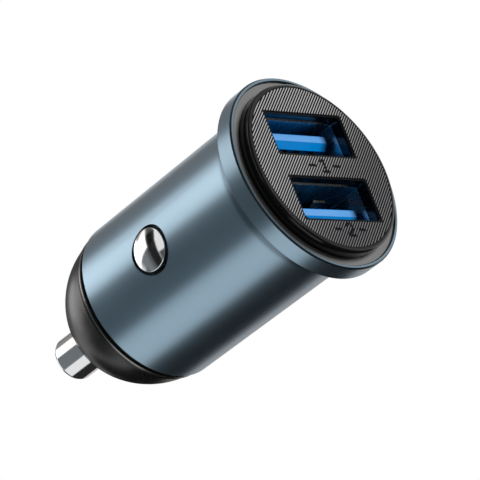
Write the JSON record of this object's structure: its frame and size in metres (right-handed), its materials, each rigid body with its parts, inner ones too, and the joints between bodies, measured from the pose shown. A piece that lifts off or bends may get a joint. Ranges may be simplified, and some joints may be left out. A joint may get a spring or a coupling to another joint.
{
  "type": "car charger plug",
  "caption": "Car charger plug for a 12 V socket: stepped metal barrel, ribbed black face with stacked type A ports, sprung chrome side contacts, domed black nose and sprung tip pin.",
  "frame": {"origin": "centre of the rear face of the head, which seats on the rim of the vehicle socket", "axes": "+Z along the plug's axis, out of the face; +X along the width of the ports; +Y from the lower port to the upper one"},
  "size_m": [0.0248, 0.0248, 0.0467],
  "materials": {
    "body_metal": "satin blue-grey anodised, turned",
    "smoky_plastic": "polished smoky black",
    "face_plastic": "black, polished edge",
    "inlay_plastic": "black with fine slanting ribs",
    "sleeve_steel": "tinned sheet",
    "tongue_plastic": "blue moulded insulator",
    "contact_gilt": "gold-flashed bronze strip",
    "board_laminate": "green solder mask",
    "lamp_resin": "milky lamp resin",
    "frame_plastic": "black moulding",
    "contact_chrome": "bright nickel",
    "spring_steel": "drawn wire",
    "clip_brass": "stamped strip",
    "ferrite": "dull dark grey",
    "winding_copper": "enamelled copper wire",
    "can_sleeved": "dark blue shrink sleeve",
    "can_bare": "bare drawn can",
    "chip_resin": "black moulded resin",
    "fuse_ceramic": "white with tinned ends",
    "nose_plastic": "black, half gloss"
  },
  "bodies": {
    "housing": {"outer_body": "body_metal", "light_ring": "smoky_plastic", "face_plate": "face_plastic", "face_inlay": "inlay_plastic", "port_sleeve_upper": "sleeve_steel", "port_sleeve_lower": "sleeve_steel", "port_tongue_upper": "tongue_plastic", "port_tongue_lower": "tongue_plastic", "upper_pin_supply": "contact_gilt", "upper_pin_data_a": "contact_gilt", "upper_pin_data_b": "contact_gilt", "upper_pin_return": "contact_gilt", "lower_pin_supply": "contact_gilt", "lower_pin_data_a": "contact_gilt", "lower_pin_data_b": "contact_gilt", "lower_pin_return": "contact_gilt", "main_board": "board_laminate", "led_left": "lamp_resin", "led_right": "lamp_resin", "inner_frame": "frame_plastic", "stud_spring_left": "spring_steel", "stud_spring_right": "spring_steel", "ground_clip_left": "clip_brass", "ground_clip_right": "clip_brass", "coil_core": "ferrite", "coil_winding": "winding_copper", "input_capacitor": "can_sleeved", "output_capacitor": "can_bare", "converter_chip": "chip_resin", "charge_chip": "chip_resin", "diode": "chip_resin", "fuse": "fuse_ceramic", "positive_plate": "clip_brass", "tip_spring": "spring_steel", "nose_cap": "nose_plastic"},
    "tip": {"tip_pin": "contact_chrome"},
    "stud_left": {"contact_stud_left": "contact_chrome"},
    "stud_right": {"contact_stud_right": "contact_chrome"}
  },
  "joints": [
    {"name": "tip_travel", "type": "slide", "parent": "housing", "child": "tip", "axis": [0, 0, 1], "range_m": [0, 0.0024], "stiffness_N_per_m": 800, "springref_m": -0.004, "deforming": ["tip_spring"]},
    {"name": "stud_left_travel", "type": "slide", "parent": "housing", "child": "stud_left", "axis": [1, 0, 0], "range_m": [0, 0.0008], "stiffness_N_per_m": 600, "springref_m": -0.002, "deforming": ["stud_spring_left"]},
    {"name": "stud_right_travel", "type": "slide", "parent": "housing", "child": "stud_right", "axis": [-1, 0, 0], "range_m": [0, 0.0008], "stiffness_N_per_m": 600, "springref_m": -0.002, "deforming": ["stud_spring_right"]}
  ]
}
